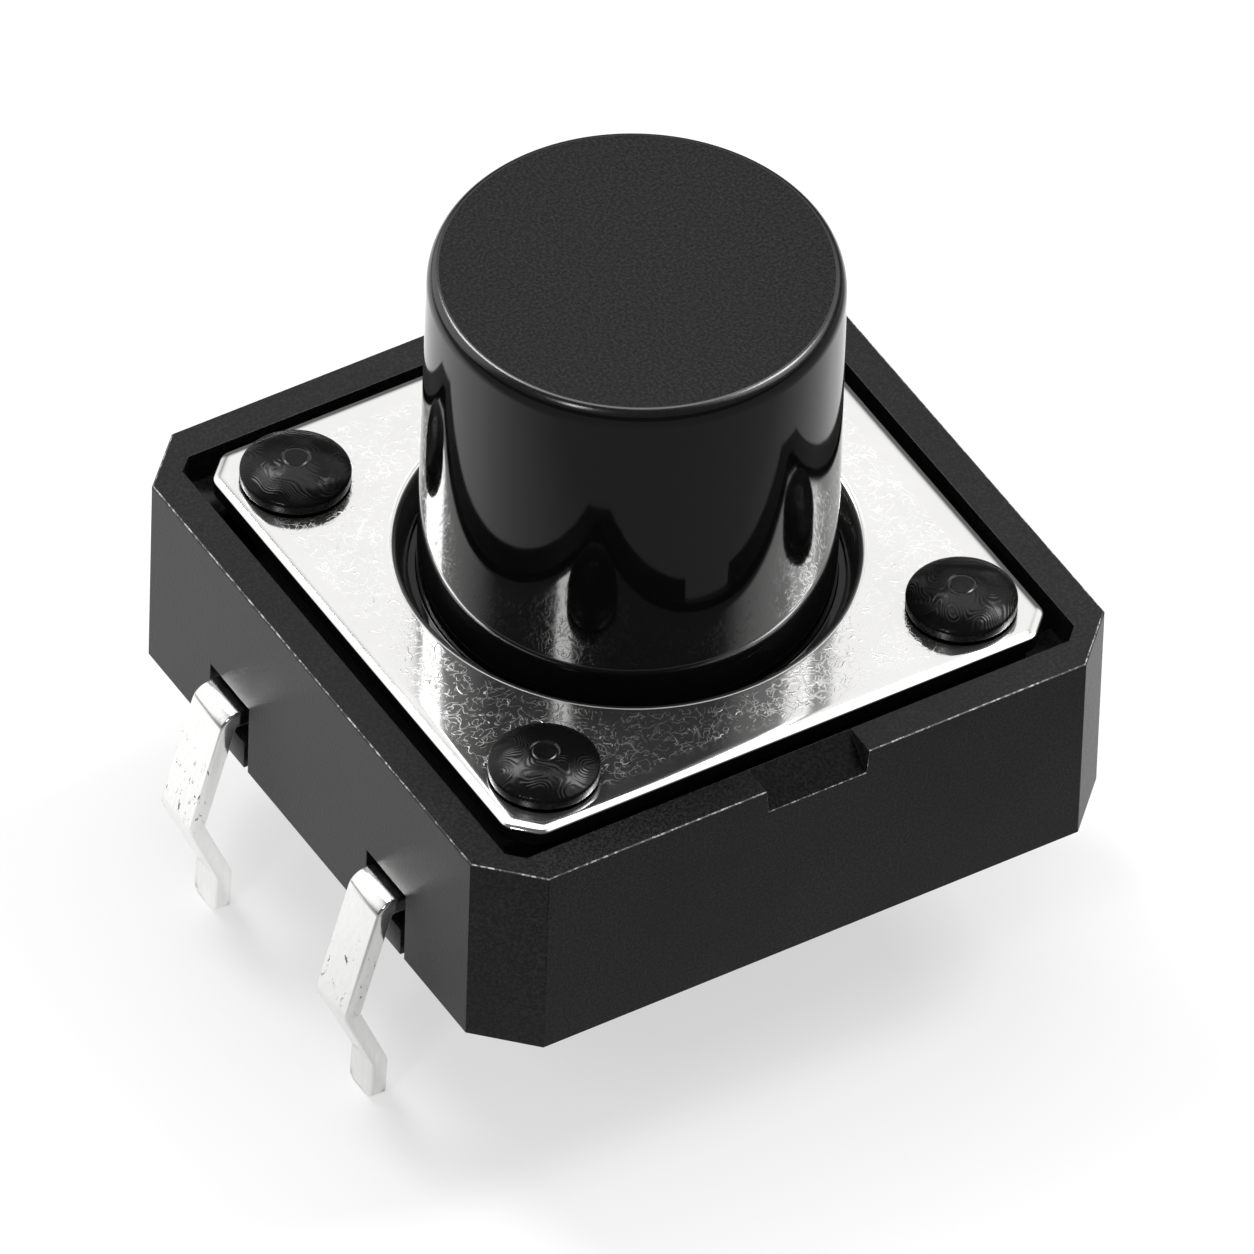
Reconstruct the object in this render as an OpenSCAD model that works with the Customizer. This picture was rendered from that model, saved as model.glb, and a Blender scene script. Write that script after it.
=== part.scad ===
// Square through-hole tactile push button switch with a tall round button.
// Sizes are in millimetres. The origin is the middle of the underside, which sits on the board.
// +Z points at the button, -Y at the side with the notch, and the legs stand on the X sides.

/* [Housing] */
// Width and depth of the square housing
body_w = 12; // [11.8:0.1:13]
// Corner chamfer of the housing
body_chamfer = 0.92; // [0.6:0.02:1.1]
// Height of the rim above the board
rim_z = 3.8; // [3.7:0.05:4.4]
// Thickness of the rim beside the pocket
rim_t = 0.62; // [0.5:0.02:0.7]
// Chamfer of the rim's outer edge
rim_chamfer = 0.03; // [0.02:0.01:0.1]
// Thickness of the housing's wall beside the base
wall_t = 0.97; // [0.8:0.01:1.05]
// Corner chamfer of the pocket
pocket_chamfer = 0.25; // [0.1:0.05:0.4]
// Depth of the groove round the cover's seat, along the sides
groove_d = 1.3; // [0.8:0.05:1.6]
// Depth of the same groove in the corners
groove_corner_d = 0.62; // [0.5:0.02:0.76]
// Width of the groove between the cover's seat and the pocket's wall
groove_w = 0.5; // [0.4:0.02:0.56]
// Length of the shallow corners of the groove
groove_corner_l = 0.93; // [0.8:0.01:1.3]
// Width of the notch in the rim
notch_w = 1.93; // [1.2:0.01:2.6]
// Depth of the notch
notch_d = 0.47; // [0.3:0.01:0.8]
// Lean of each notch side, from its top to its floor
notch_draft = 0.04; // [0:0.01:0.1]
// Play round whichever is wider in the cavity, the flange or the collar's root
cavity_play = 0.04; // [0.03:0.01:0.1]

/* [Base] */
// Corner chamfer of the inner base
base_chamfer = 0.4; // [0.3:0.05:0.8]
// Height of the inner base
base_z = 1.65; // [1.6:0.01:1.75]
// Play between the base and the housing round it
base_play = 0.03; // [0.02:0.01:0.06]
// Height of the tongues that fill the terminal slots
tongue_z = 0.57; // [0.3:0.01:0.8]
// Play beside each tongue in its slot
tongue_play = 0.12; // [0.08:0.01:0.16]
// Diameter of the round holes under the strips, left by the mould's pins
pin_mark_d = 0.8; // [0.5:0.05:0.9]
// Distance of those holes from the middle of their strip
pin_mark_x = 3.6; // [2.8:0.1:4]

/* [Staked posts] */
// Distance of a post's middle from the cover's edges
post_in = 1.16; // [1.1:0.01:1.2]
// Diameter of the posts
post_d = 1.2; // [1:0.05:1.25]
// Play between a post and its holes
post_play = 0.03; // [0.02:0.01:0.06]
// Diameter of the staked heads
head_d = 1.84; // [1.7:0.02:1.9]
// Height of the straight edge of a head
head_edge = 0.3; // [0.2:0.01:0.5]
// Height of the crown above that edge
head_crown = 0.22; // [0.1:0.01:0.35]
// Diameter of the staking tool's mark on a head
mark_d = 0.44; // [0.2:0.02:0.8]
// Depth of that mark
mark_depth = 0.02; // [0.01:0.01:0.05]

/* [Cover plate] */
// Gap between the cover plate and the pocket's wall
plate_play = 0.27; // [0.2:0.01:0.34]
// Corner chamfer of the cover plate
plate_chamfer = 0.45; // [0.3:0.05:0.6]
// Thickness of the cover plate
plate_t = 0.35; // [0.3:0.01:0.4]
// How far the cover stands above the rim
plate_up = 0.12; // [0:0.01:0.16]
// Size of the edge that stamping rolls over, round the outside of the plate
plate_round = 0.07; // [0.03:0.01:0.12]
// How far the collar leans inwards from its top to its lip
collar_in = 0.25; // [0.15:0.01:0.3]
// Depth of the collar below the top of the plate
collar_d = 0.5; // [0.45:0.01:0.55]
// Thickness of the collar
collar_t = 0.22; // [0.16:0.01:0.24]
// Radius of the rounded edge of the big hole
hole_round = 0.14; // [0.08:0.01:0.18]

/* [Button] */
// Height of the button's top above the board
button_z = 10; // [6:0.1:14]
// Distance from the housing's sides to the button, at the cover
button_in = 2.56; // [2.54:0.01:2.7]
// How much narrower the button is at its top
button_draft = 0.08; // [0:0.02:0.3]
// Radius of the button's rounded top edge
button_round = 0.2; // [0.1:0.01:0.4]
// Play between the button and the collar's lip
lip_play = 0.11; // [0.06:0.01:0.16]
// How far the flange stands out under the lip
flange_out = 0.4; // [0.3:0.01:0.42]
// Thickness of the flange
flange_t = 0.55; // [0.4:0.01:0.6]
// Play between the flange and the lip above it
flange_play = 0.03; // [0.02:0.01:0.05]
// Width of the guide ears on the flange
ear_w = 0.9; // [0.6:0.05:1.2]
// How far the ears stand out of the flange
ear_out = 0.5; // [0.4:0.02:0.54]
// Play round the ears in their slots
ear_play = 0.06; // [0.04:0.01:0.08]
// Diameter of the nub that presses the dome
nub_d = 1.8; // [1.2:0.1:2.4]
// Play between the nub and the dome
nub_play = 0.02; // [0.01:0.01:0.03]

/* [Snap dome] */
// How far the dome's rim lies inside the flange's
dome_in = 0.35; // [0.33:0.01:0.45]
// Rise of the dome
dome_rise = 0.4; // [0.36:0.01:0.44]
// Thickness of the dome
dome_t = 0.1; // [0.08:0.01:0.12]
// Depth of the dome's seat in the base
seat_d = 0.2; // [0.16:0.01:0.24]
// Play round the dome in its seat
dome_play = 0.08; // [0.04:0.01:0.1]

/* [Contact strips] */
// Distance between the two strips
strip_pitch = 5; // [4.9:0.02:5.1]
// Width of the strips
strip_w = 0.95; // [0.8:0.01:1.05]
// Thickness of the strips
strip_t = 0.3; // [0.25:0.01:0.32]
// Height of the top of the strips in the base
strip_z = 1.25; // [1.2:0.01:1.3]
// Play beside a strip in its terminal slot
slot_play = 0.145; // [0.13:0.005:0.2]
// Play above a strip in its terminal slot
slot_over = 0.17; // [0.1:0.01:0.24]
// Diameter of the pads under the dome's rim
rim_pad_d = 0.9; // [0.6:0.05:0.95]
// Diameter of the pad under the middle of the dome
centre_pad_d = 1.2; // [1:0.05:1.6]
// Height of the middle pad above the dome's seat
centre_pad_up = 0.05; // [0.02:0.01:0.06]

/* [Legs] */
// How far the middle of a leg's tip stands outside the housing
leg_out = 0.25; // [0.22:0.01:0.4]
// Length of the legs below the board's surface
leg_l = 3.3; // [3.1:0.05:4.5]
// How far the knee of a leg stands out past its tip
knee_out = 0.6; // [0.3:0.02:0.7]
// Depth of the knee below the board's surface
knee_d = 1.05; // [0.9:0.05:1.2]
// How far the heel of a leg lies inside its tip
heel_in = 0.03; // [0:0.01:0.1]
// Depth of the heel below the board's surface
heel_d = 2.5; // [2.3:0.05:2.6]
// Bend radius at the middle of the sheet
bend_r = 0.21; // [0.2:0.01:0.24]
// Width of a leg at its tip
tip_w = 0.68; // [0.5:0.02:0.76]
// Corner cut at the tip of a leg
tip_chamfer = 0.1; // [0.04:0.02:0.16]

/* [Hidden] */
$fn = 64;

// Overshoot of cuts past the faces they open
cut = 0.5;
// Overlap that joins a bend or a collar to the sheet beside it
lap = 0.002;

// Widths that follow from the housing's
pocket_w = body_w - 2 * rim_t;
island_w = pocket_w - 2 * groove_w;
groove_l = pocket_w - 2 * groove_corner_l;
well_w = body_w - 2 * wall_t;
base_w = well_w - 2 * base_play;
plate_w = pocket_w - 2 * plate_play;
post_pitch = plate_w - 2 * post_in;
leg_pitch = body_w + 2 * leg_out;

// Diameters of the button and what surrounds it
button_d = body_w - 2 * button_in;
lip_d = button_d + 2 * lip_play;
hole_d = lip_d + 2 * collar_in;
collar_root_d = hole_d + 2 * hole_round + 2 * collar_t;
flange_d = lip_d + 2 * flange_out;
cavity_d = max(flange_d, collar_root_d) + 2 * cavity_play;
dome_d = flange_d - 2 * dome_in;

// Widths that follow from the strips'
slot_w = strip_w + 2 * slot_play;
tongue_w = slot_w - 2 * tongue_play;

// Heights above the board
plate_z = rim_z + plate_up;
plate_seat_z = plate_z - plate_t;
groove_z = rim_z - groove_d;
groove_corner_z = rim_z - groove_corner_d;
lip_z = plate_z - collar_d;
flange_top_z = lip_z - flange_play;
flange_z = flange_top_z - flange_t;
dome_z = base_z - seat_d;
dome_top_z = dome_z + dome_rise + dome_t;
nub_z = dome_top_z + nub_play;
centre_pad_z = dome_z + centre_pad_up;
strip_low_z = strip_z - strip_t;
slot_z = strip_z + slot_over;
head_top_z = plate_z + head_edge + head_crown;

// The rim pads lie on the strip's middle line where the dome's rim crosses it
rim_pad_x = sqrt(pow(dome_d / 2, 2) - pow(strip_pitch / 2, 2));

// Sphere that gives a head its crown
crown_r = (pow(head_d / 2, 2) + pow(head_crown, 2)) / (2 * head_crown);
// Sphere that gives the dome its rise
dome_r = (pow(dome_d / 2, 2) + pow(dome_rise, 2)) / (2 * dome_rise);

// Middle line of a leg seen from its edge, from inside the base to the tip
leg_line = [
    [0, strip_z - strip_t / 2],
    [leg_pitch / 2, strip_z - strip_t / 2],
    [leg_pitch / 2 + knee_out, -knee_d],
    [leg_pitch / 2 - heel_in, -heel_d],
    [leg_pitch / 2, -leg_l]
];

// Where a leg starts and stops getting narrower
taper_top_z = -knee_d;
taper_low_z = -heel_d;

// Square with its corners cut off
module chamfered_square(w, c) {
    h = w / 2;
    polygon([
        [h, h - c], [h - c, h], [c - h, h], [-h, h - c],
        [-h, c - h], [c - h, -h], [h - c, -h], [h, c - h]
    ]);
}

// Cuts a plate's upper edges at 45 degrees, for a plate whose top is at z = 0
module edge_cut(w, c, size) {
    side = w / 2;
    corner = (w - c) / sqrt(2);
    for (i = [0 : 7])
        rotate(45 * i)
            translate([i % 2 == 0 ? side : corner, 0, 0])
                rotate([0, 45, 0])
                    cube([size * sqrt(2), w, size * sqrt(2)], center = true);
}

module at_posts() {
    for (x = [-1, 1], y = [-1, 1])
        translate([x * post_pitch / 2, y * post_pitch / 2, 0]) children();
}

// Both ends of both strips, with +X pointing out of the housing
module at_terminals() {
    for (turn = [0, 180], y = [-1, 1])
        rotate([0, 0, turn]) translate([0, y * strip_pitch / 2, 0]) children();
}

// Outer moulding

module groove() {
    difference() {
        union() {
            translate([0, 0, groove_corner_z])
                linear_extrude(rim_z - groove_corner_z + cut)
                    chamfered_square(pocket_w, pocket_chamfer);
            translate([0, 0, groove_z])
                linear_extrude(rim_z - groove_z + cut)
                    intersection() {
                        chamfered_square(pocket_w, pocket_chamfer);
                        union() {
                            square([pocket_w, groove_l], center = true);
                            square([groove_l, pocket_w], center = true);
                        }
                    }
        }
        translate([0, 0, groove_z - cut])
            linear_extrude(plate_seat_z - groove_z + cut)
                chamfered_square(island_w, pocket_chamfer);
    }
}

module notch() {
    floor_w = notch_w - 2 * notch_draft;
    top_w = notch_w + 2 * notch_draft * cut / notch_d;
    translate([0, -pocket_w / 2 + groove_w / 2, rim_z - notch_d])
        rotate([90, 0, 0])
            linear_extrude(rim_t + groove_w / 2 + cut)
                polygon([
                    [-floor_w / 2, 0], [floor_w / 2, 0],
                    [top_w / 2, notch_d + cut], [-top_w / 2, notch_d + cut]
                ]);
}

module ear_slots() {
    slot_l = flange_d + 2 * ear_out + 2 * ear_play;
    translate([-slot_l / 2, -ear_w / 2 - ear_play, base_z - cut])
        cube([slot_l, ear_w + 2 * ear_play, plate_seat_z - base_z + 2 * cut]);
}

module housing() {
    color("#1b1b1d")
    difference() {
        linear_extrude(rim_z) chamfered_square(body_w, body_chamfer);
        translate([0, 0, rim_z]) edge_cut(body_w, body_chamfer, rim_chamfer);
        translate([0, 0, -cut])
            linear_extrude(base_z + cut) chamfered_square(well_w, base_chamfer);
        cylinder(h = rim_z + cut, d = cavity_d);
        groove();
        notch();
        ear_slots();
        at_posts() cylinder(h = rim_z, d = post_d + 2 * post_play);
        at_terminals()
            translate([well_w / 2 - cut, -slot_w / 2, -cut])
                cube([body_w / 2 - well_w / 2 + 2 * cut, slot_w, slot_z + cut]);
    }
}

// Inner moulding with the staked posts

module staked_post() {
    translate([0, 0, strip_z]) cylinder(h = plate_z - strip_z, d = post_d);
    difference() {
        intersection() {
            translate([0, 0, plate_z]) cylinder(h = head_top_z - plate_z, d = head_d);
            translate([0, 0, head_top_z - crown_r]) sphere(crown_r);
        }
        translate([0, 0, head_top_z - mark_depth]) cylinder(h = cut, d = mark_d);
    }
}

module tongue() {
    translate([base_w / 2 - cut, -tongue_w / 2, 0])
        cube([body_w / 2 - base_w / 2 + cut, tongue_w, tongue_z]);
}

module pin_marks() {
    for (x = [-1, 1], y = [-1, 1])
        translate([x * pin_mark_x, y * strip_pitch / 2, -cut])
            cylinder(h = strip_low_z + cut, d = pin_mark_d);
}

module base() {
    color("#202022")
    difference() {
        union() {
            linear_extrude(base_z) chamfered_square(base_w, base_chamfer);
            at_terminals() tongue();
            at_posts() staked_post();
        }
        translate([0, 0, dome_z]) cylinder(h = base_z - dome_z + cut, d = dome_d + 2 * dome_play);
        centre_contact_inside();
        rim_contact_inside();
        pin_marks();
    }
}

// Steel cover

// Half section of the drawn collar, from the plate's underside to its lip and up the bore
module collar_section() {
    hole_r = hole_d / 2;
    lip_r = lip_d / 2;
    root_r = hole_r + hole_round;
    difference() {
        polygon([
            [root_r + collar_t, 0],
            [hole_r, 0],
            [lip_r, -collar_d],
            [lip_r + collar_t, -collar_d],
            [root_r + collar_t, -plate_t]
        ]);
        difference() {
            translate([hole_r - cut, -hole_round]) square([hole_round + cut, hole_round + cut]);
            translate([root_r, -hole_round]) circle(hole_round);
            translate([root_r, -hole_round]) square([cut, hole_round]);
        }
    }
}

module cover_plate() {
    color("#d4d6d8")
    translate([0, 0, plate_z])
    union() {
        difference() {
            translate([0, 0, -plate_t])
                linear_extrude(plate_t) chamfered_square(plate_w, plate_chamfer);
            edge_cut(plate_w, plate_chamfer, plate_round);
            translate([0, 0, -plate_t - cut]) {
                cylinder(h = plate_t + 2 * cut, d = collar_root_d - 2 * lap);
                at_posts() cylinder(h = plate_t + 2 * cut, d = post_d + 2 * post_play);
            }
        }
        rotate_extrude() collar_section();
    }
}

// Plunger

module button() {
    top_r = button_d / 2 - button_draft / 2;
    color("#111112")
    union() {
        rotate_extrude() {
            polygon([
                [0, flange_z],
                [button_d / 2, flange_z],
                [button_d / 2, plate_seat_z],
                [top_r, button_z - button_round],
                [top_r - button_round, button_z],
                [0, button_z]
            ]);
            translate([top_r - button_round, button_z - button_round]) circle(button_round);
        }
        translate([0, 0, flange_z]) {
            cylinder(h = flange_t, d = flange_d);
            translate([-flange_d / 2 - ear_out, -ear_w / 2, 0])
                cube([flange_d + 2 * ear_out, ear_w, flange_t]);
        }
        translate([0, 0, nub_z]) cylinder(h = flange_z - nub_z, d = nub_d);
    }
}

// Snap dome, a shallow cap of even height with a square-cut rim
module snap_dome() {
    centre_z = dome_rise - dome_r;
    color("#b9bcc0")
    translate([0, 0, dome_z])
    difference() {
        intersection() {
            cylinder(h = dome_rise + dome_t, d = dome_d);
            translate([0, 0, centre_z + dome_t]) sphere(dome_r);
        }
        translate([0, 0, centre_z]) sphere(dome_r);
    }
}

// Contact strips

// Direction of a leg's stretch number i, in degrees
function heading(i) = atan2(leg_line[i + 1][1] - leg_line[i][1], leg_line[i + 1][0] - leg_line[i][0]);
// Turn at point i, negative to the right
function turn(i) = heading(i) - heading(i - 1);
// Length that the bend at point i takes off each stretch beside it
function bend_trim(i) = i == 0 || i == len(leg_line) - 1 ? 0 : bend_r * tan(abs(turn(i)) / 2);
function stretch_length(i) = norm(leg_line[i + 1] - leg_line[i]);

// One straight stretch of the sheet, seen from its edge
module straight(i) {
    translate(leg_line[i]) rotate(heading(i))
        translate([bend_trim(i) - lap, -strip_t / 2])
            square([stretch_length(i) - bend_trim(i) - bend_trim(i + 1) + 2 * lap, strip_t]);
}

// The bend at point i, a piece of a ring between two straight stretches
module bend(i) {
    side = sign(turn(i));
    reach = 4 * (bend_r + strip_t);
    translate(leg_line[i]) rotate(heading(i - 1))
        translate([-bend_trim(i), side * bend_r])
            intersection() {
                difference() {
                    circle(bend_r + strip_t / 2);
                    circle(bend_r - strip_t / 2);
                }
                polygon([
                    [0, 0],
                    [0, -side * reach],
                    reach * [sin(abs(turn(i))), -side * cos(turn(i))]
                ]);
            }
}

module leg_section() {
    for (i = [0 : len(leg_line) - 2]) straight(i);
    for (i = [1 : len(leg_line) - 2]) bend(i);
}

// Outline of half a strip, flattened, seen from the end: full width down to the knee, then narrower
module strip_front() {
    polygon([
        [-strip_w / 2, strip_z + cut], [-strip_w / 2, taper_top_z],
        [-tip_w / 2, taper_low_z], [-tip_w / 2, -leg_l + tip_chamfer],
        [-tip_w / 2 + tip_chamfer, -leg_l], [tip_w / 2 - tip_chamfer, -leg_l],
        [tip_w / 2, -leg_l + tip_chamfer], [tip_w / 2, taper_low_z],
        [strip_w / 2, taper_top_z], [strip_w / 2, strip_z + cut]
    ]);
}

module half_strip() {
    span = leg_pitch + 2 * knee_out + 2 * strip_t;
    intersection() {
        rotate([90, 0, 0])
            translate([0, 0, -strip_w / 2]) linear_extrude(strip_w) leg_section();
        rotate([90, 0, 90])
            translate([0, 0, -cut]) linear_extrude(span) strip_front();
    }
}

// The stretch of a strip that lies inside the base
module strip_inside() {
    translate([-base_w / 2 - cut, -strip_w / 2, strip_low_z])
        cube([base_w + 2 * cut, strip_w, strip_t]);
}

module strip_with_legs() {
    for (turn = [0, 180]) rotate([0, 0, turn]) half_strip();
}

// Tongue and pad under the middle of the dome
module centre_tongue() {
    translate([-strip_w / 2, 0, strip_low_z]) cube([strip_w, strip_pitch / 2, strip_t]);
    translate([0, 0, strip_low_z]) cylinder(h = centre_pad_z - strip_low_z, d = centre_pad_d);
}

module rim_pads() {
    for (x = [-1, 1])
        translate([x * rim_pad_x, -strip_pitch / 2, strip_low_z])
            cylinder(h = dome_z - strip_low_z, d = rim_pad_d);
}

module centre_contact_inside() {
    translate([0, strip_pitch / 2, 0]) strip_inside();
    centre_tongue();
}

module rim_contact_inside() {
    translate([0, -strip_pitch / 2, 0]) strip_inside();
    rim_pads();
}

module centre_contact() {
    color("#e4e4e0")
    union() {
        translate([0, strip_pitch / 2, 0]) strip_with_legs();
        centre_tongue();
    }
}

module rim_contact() {
    color("#dcdcd8")
    union() {
        translate([0, -strip_pitch / 2, 0]) strip_with_legs();
        rim_pads();
    }
}

housing();
base();
cover_plate();
button();
snap_dome();
centre_contact();
rim_contact();
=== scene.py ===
"""Looks of the tactile push button switch: its pieces, their finishes, the floor, the light and the camera.

Lengths are in millimetres under the names of the part's source, and meshes are scaled to metres as they are made.
"""

import math

import bmesh
import bpy
from mathutils import Matrix, Vector


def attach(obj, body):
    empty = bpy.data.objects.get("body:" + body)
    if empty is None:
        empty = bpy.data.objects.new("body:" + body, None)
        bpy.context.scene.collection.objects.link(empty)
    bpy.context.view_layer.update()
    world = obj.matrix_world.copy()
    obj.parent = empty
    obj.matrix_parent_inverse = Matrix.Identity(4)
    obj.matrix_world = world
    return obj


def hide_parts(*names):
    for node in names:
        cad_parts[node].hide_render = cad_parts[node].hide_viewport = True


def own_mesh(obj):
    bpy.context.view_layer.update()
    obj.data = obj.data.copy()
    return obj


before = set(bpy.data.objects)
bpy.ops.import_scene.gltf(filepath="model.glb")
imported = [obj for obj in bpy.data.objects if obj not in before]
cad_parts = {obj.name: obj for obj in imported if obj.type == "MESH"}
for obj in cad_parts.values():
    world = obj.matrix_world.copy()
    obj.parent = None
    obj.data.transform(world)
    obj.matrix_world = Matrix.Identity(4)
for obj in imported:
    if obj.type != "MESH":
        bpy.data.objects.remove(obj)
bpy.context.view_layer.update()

MM = 0.001

# Housing and base: NOTCH_REACH is just past the notch's ends, and NEAR is close enough to be one place
BODY_W, BODY_CHAMFER, RIM_Z = 12.0, 0.92, 3.8
POCKET_W = 10.76
NOTCH_Z, NOTCH_REACH = 3.33, 1.1
HOUSING_ROUND, BASE_ROUND = 0.016, 0.015
NEAR = 1e-3

# Cover plate
PLATE_W, PLATE_CHAMFER, PLATE_ROLL, PLATE_DROP = 10.22, 0.45, 0.25, 0.08
PLATE_Z, PLATE_SEAT_Z = 3.92, 3.57
HOLE_R, HOLE_ROUND, LIP_R, LIP_Z, COLLAR_T = 3.8, 0.14, 3.55, 3.42, 0.22

# Staked posts
POST_AT, POST_HOLE_R = 3.95, 0.63
HEAD_R, HEAD_EDGE, HEAD_CROWN, MARK_R, MARK_DEPTH = 0.92, 0.27, 0.25, 0.22, 0.02

# Button
BUTTON_R, BUTTON_TOP_R, BUTTON_Z, EDGE_IN, EDGE_DOWN = 3.44, 3.40, 10.0, 0.19, 0.34
FLANGE_R, FLANGE_Z, FLANGE_TOP_Z = 3.95, 2.84, 3.39
EAR_REACH, EAR_W = 4.45, 0.9
NUB_R, NUB_Z = 0.9, 1.97
# Share of the rounded edge that takes the rubbed plastic, whose stronger reflection is also a painted highlight
WORN_HIGHLIGHT_SHARE = 0.3

# Snap dome
DOME_R, DOME_Z, DOME_RISE, DOME_T = 3.6, 1.45, 0.4, 0.1

# Contact strips and legs
STRIP_AT, STRIP_W, STRIP_T, STRIP_Z = 2.5, 0.95, 0.3, 1.25
RIM_PAD_X, RIM_PAD_R, CENTRE_PAD_R, CENTRE_PAD_Z = 2.5904, 0.45, 0.6, 1.5
LEG_X, LEG_L, TIP_W, TIP_CHAMFER = 6.25, 3.3, 0.68, 0.1
KNEE_OUT, KNEE_D, HEEL_IN, HEEL_D, BEND_R = 0.599, 1.05, 0.03, 2.5, 0.21

# Studio: angles in degrees as seen from the switch, and brightness where 1 is white
FLOOR_WHITE, FLOOR_EDGE, FLOOR_SIZE = 0.58, (32, 46), 0.12
# Painted pool of light on the floor, seen only in reflections: centre, inner and outer edge, brightness inside and out
POOL_AT, POOL_EDGE, POOL_HIGH, POOL_LOW = (4, 22), (24, 35), 0.98, 0.34
AMBIENT, WALLS = 0.5, 0.1
# Bright parts of the walls: azimuth, elevation, inner and outer edge, brightness
GLOWS = (
    (147.6, 43.85, 7, 24, 0.97),
    (-150, 22, 24, 44, 1.1),
    (108, 36, 8, 24, 1.0),
    (66, 44, 12, 34, 1.9),
)
LAMP_AWAY = 0.4
SOFTBOXES = (
    # name, azimuth, elevation, width, height, brightness
    ("softbox_left", 195, 54, 16, 22, 12.0),
    ("softbox_right", 81, 55, 16, 20, 13.0),
    ("softbox_top", 147, 70, 34, 26, 2.5),
    ("strip_light", -65.5, 44, 6.5, 16, 13.0),
)

# Camera: angles in degrees, lengths in millimetres, and pixels of the photograph to a millimetre
CAMERA_AZIMUTH, CAMERA_ELEVATION, CAMERA_ROLL = -32.39, 43.85, 2.02
CAMERA_AWAY, ASIDE, UPWARDS, SCALE = 500.0, 0.088, 1.458, 61.115
PHOTO_W, SENSOR_W = 1254, 36


# Lines and meshes


def fillet(points, steps=5, closed=False):
    """Rounds a flat line of (x, y, radius) points and returns its (x, y) points."""
    line = []
    count = len(points)
    for k, (x, y, radius) in enumerate(points):
        if radius == 0 or (not closed and k in (0, count - 1)):
            line.append((x, y))
            continue
        corner = Vector((x, y))
        back = (Vector(points[k - 1][:2]) - corner).normalized()
        ahead = (Vector(points[(k + 1) % count][:2]) - corner).normalized()
        half = back.angle(ahead) / 2
        centre = corner + (back + ahead).normalized() * (radius / math.sin(half))
        first = corner + back * (radius / math.tan(half)) - centre
        last = corner + ahead * (radius / math.tan(half)) - centre
        swing = math.atan2(first.x * last.y - first.y * last.x, first.dot(last))
        for i in range(steps + 1):
            a = swing * i / steps
            line.append(
                (
                    centre.x + first.x * math.cos(a) - first.y * math.sin(a),
                    centre.y + first.x * math.sin(a) + first.y * math.cos(a),
                )
            )
    return line


def join_rings(bm, low, high):
    """Faces between two rings of vertices, where a ring of one vertex is a point."""
    count = max(len(low), len(high))
    for i in range(count):
        j = (i + 1) % count
        corners = [low[i % len(low)], low[j % len(low)], high[j % len(high)], high[i % len(high)]]
        bm.faces.new(list(dict.fromkeys(corners)))


def lathe(bm, profile, steps=192, at=(0.0, 0.0)):
    """Turns a line of (radius, height) points about an upright axis and returns its rings."""
    rings = []
    for r, z in profile:
        turns = 1 if r < 1e-9 else steps
        ring = []
        for i in range(turns):
            a = 2 * math.pi * i / turns
            ring.append(bm.verts.new((at[0] + r * math.cos(a), at[1] + r * math.sin(a), z)))
        rings.append(ring)
    for low, high in zip(rings, rings[1:]):
        join_rings(bm, low, high)
    return rings


def block(bm, low, high, bevel):
    """A box between two corners, with its edges rounded."""
    made = bmesh.ops.create_cube(bm, size=1)["verts"]
    for v in made:
        for k in range(3):
            v.co[k] = low[k] if v.co[k] < 0 else high[k]
    edges = list({e for v in made for e in v.link_edges})
    bmesh.ops.bevel(bm, geom=edges, offset=bevel, segments=2, profile=0.5, affect="EDGES")


def chamfered_square(w, c, radius, steps=4):
    """Outline of a square with its corners cut off and every corner rounded."""
    h = w / 2
    corners = [(h, c - h), (h, h - c), (h - c, h), (c - h, h), (-h, h - c), (-h, c - h), (c - h, -h), (h - c, -h)]
    return fillet([(x, y, radius) for x, y in corners], steps, closed=True)


def cad_mesh(node):
    """A CAD node's mesh in millimetres, with its flat faces made whole again."""
    bm = bmesh.new()
    bm.from_mesh(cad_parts[node].data)
    bmesh.ops.scale(bm, vec=(1 / MM,) * 3, verts=bm.verts)
    bmesh.ops.remove_doubles(bm, verts=bm.verts, dist=1e-4)
    bmesh.ops.dissolve_limit(bm, angle_limit=math.radians(0.4), verts=bm.verts, edges=bm.edges)
    return bm


def round_edges(bm, wanted, size, segments=3):
    """Rounds the sharp edges that are wanted."""
    sharp = [e for e in bm.edges if len(e.link_faces) == 2 and e.calc_face_angle() > math.radians(20)]
    edges = [e for e in sharp if wanted(e)]
    bmesh.ops.bevel(bm, geom=edges, offset=size, segments=segments, profile=0.5, affect="EDGES", clamp_overlap=True)


def piece(name, bm, body, node, materials, sharp=38):
    """Makes a piece of a mesh in millimetres, which stands for a CAD node."""
    bmesh.ops.recalc_face_normals(bm, faces=bm.faces)
    bmesh.ops.scale(bm, vec=(MM,) * 3, verts=bm.verts)
    mesh = bpy.data.meshes.new(name)
    bm.to_mesh(mesh)
    bm.free()
    mesh.shade_smooth()
    mesh.set_sharp_from_angle(angle=math.radians(sharp))
    for m in materials:
        mesh.materials.append(m)
    obj = bpy.data.objects.new(name, mesh)
    bpy.context.scene.collection.objects.link(obj)
    normals = obj.modifiers.new("even_shading", "WEIGHTED_NORMAL")
    normals.keep_sharp = True
    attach(obj, body)
    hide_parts(node)
    return obj


# Finishes


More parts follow.
